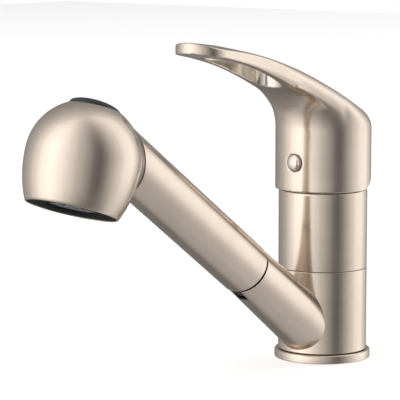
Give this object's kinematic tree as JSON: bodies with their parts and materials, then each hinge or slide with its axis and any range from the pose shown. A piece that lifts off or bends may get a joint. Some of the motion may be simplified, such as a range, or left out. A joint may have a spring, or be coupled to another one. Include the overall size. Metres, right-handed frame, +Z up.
{
  "type": "pull-out kitchen faucet",
  "caption": "Single-lever kitchen mixer faucet with a slanted tubular spout that ends in a ball-shaped pull-out spray head, a loop lever and a rocker that selects spray or stream.",
  "frame": {"origin": "centre of the base's underside, where the faucet stands on the deck", "axes": "+Z up along the column; the spout, the spray head and the lever reach towards -Y; +X is to the right of someone who looks along +Y"},
  "size_m": [0.0538, 0.236, 0.1687],
  "materials": {
    "nickel": "warm brushed nickel plating, fine grain",
    "bright_nickel": "polished nickel plating",
    "brass": "machined brass",
    "steel": "plain stainless steel",
    "black_plastic": "fine matt black moulding",
    "grey_plastic": "mid grey moulding",
    "white_plastic": "natural white moulding",
    "rubber": "black rubber",
    "ceramic": "lapped white ceramic"
  },
  "bodies": {
    "base": {"base_ring": "nickel", "base_gasket": "rubber", "valve_foot": "brass", "valve_cup": "brass", "lower_glide_ring": "white_plastic", "upper_glide_ring": "white_plastic", "lower_o_ring": "rubber", "upper_o_ring": "rubber", "upper_body": "nickel", "inlet_seals": "rubber", "cartridge_base": "white_plastic", "fixed_disc": "ceramic", "cartridge_housing": "white_plastic", "bonnet_nut": "brass", "dome_cap": "nickel"},
    "spout": {"spout_hub": "nickel", "hose_guide": "black_plastic"},
    "wand": {"wand_tube": "nickel", "dock_spigot": "black_plastic", "hose_inlet": "brass", "inlet_washer": "rubber", "water_tube": "white_plastic", "check_valve": "grey_plastic", "neck_collar": "nickel", "head_shell": "nickel", "diverter_body": "black_plastic", "face_gasket": "rubber", "spray_face": "black_plastic", "spray_nozzles": "rubber", "aerator_housing": "grey_plastic", "aerator_screen": "grey_plastic", "toggle_axle": "steel"},
    "rocker": {"spray_toggle": "black_plastic"},
    "plunger": {"diverter_plunger": "white_plastic"},
    "mixer": {"stem_collar": "white_plastic", "stem_pin": "steel"},
    "lever": {"lever_stem": "brass", "handle": "nickel", "set_screw": "steel", "index_button": "bright_nickel"},
    "disc": {"disc_carrier": "white_plastic", "moving_disc": "ceramic"}
  },
  "joints": [
    {"name": "spout_swivel", "type": "hinge", "parent": "base", "child": "spout", "pos_m": [0, 0, 0.02], "axis": [0, 0, 1], "range_deg": [-60, 60]},
    {"name": "wand_pull", "type": "slide", "parent": "spout", "child": "wand", "axis": [0, -0.8192, 0.5736], "range_m": [0, 0.45]},
    {"name": "rocker_tilt", "type": "hinge", "parent": "wand", "child": "rocker", "pos_m": [0, -0.17599, 0.13756], "axis": [1, 0, 0], "range_deg": [0, 8]},
    {"name": "plunger_slide", "type": "slide", "parent": "wand", "child": "plunger", "axis": [0, 0.3292, 0.9443], "range_m": [0, 0.00085], "stiffness_N_per_m": 0.05, "springref_m": 0.0184},
    {"name": "handle_turn", "type": "hinge", "parent": "base", "child": "mixer", "pos_m": [0, 0, 0.076], "axis": [0, 0, 1], "range_deg": [-45, 45]},
    {"name": "handle_lift", "type": "hinge", "parent": "mixer", "child": "lever", "pos_m": [0, 0, 0.076], "axis": [-1, 0, 0], "range_deg": [0, 25]},
    {"name": "disc_slide", "type": "slide", "parent": "mixer", "child": "disc", "axis": [0, -1, 0], "range_m": [0, 0.004]}
  ],
  "couplings": [
    {"joint": "plunger_slide", "follows": "rocker_tilt", "m_per_rad": 0.006},
    {"joint": "disc_slide", "follows": "handle_lift", "m_per_rad": 0.009}
  ]
}
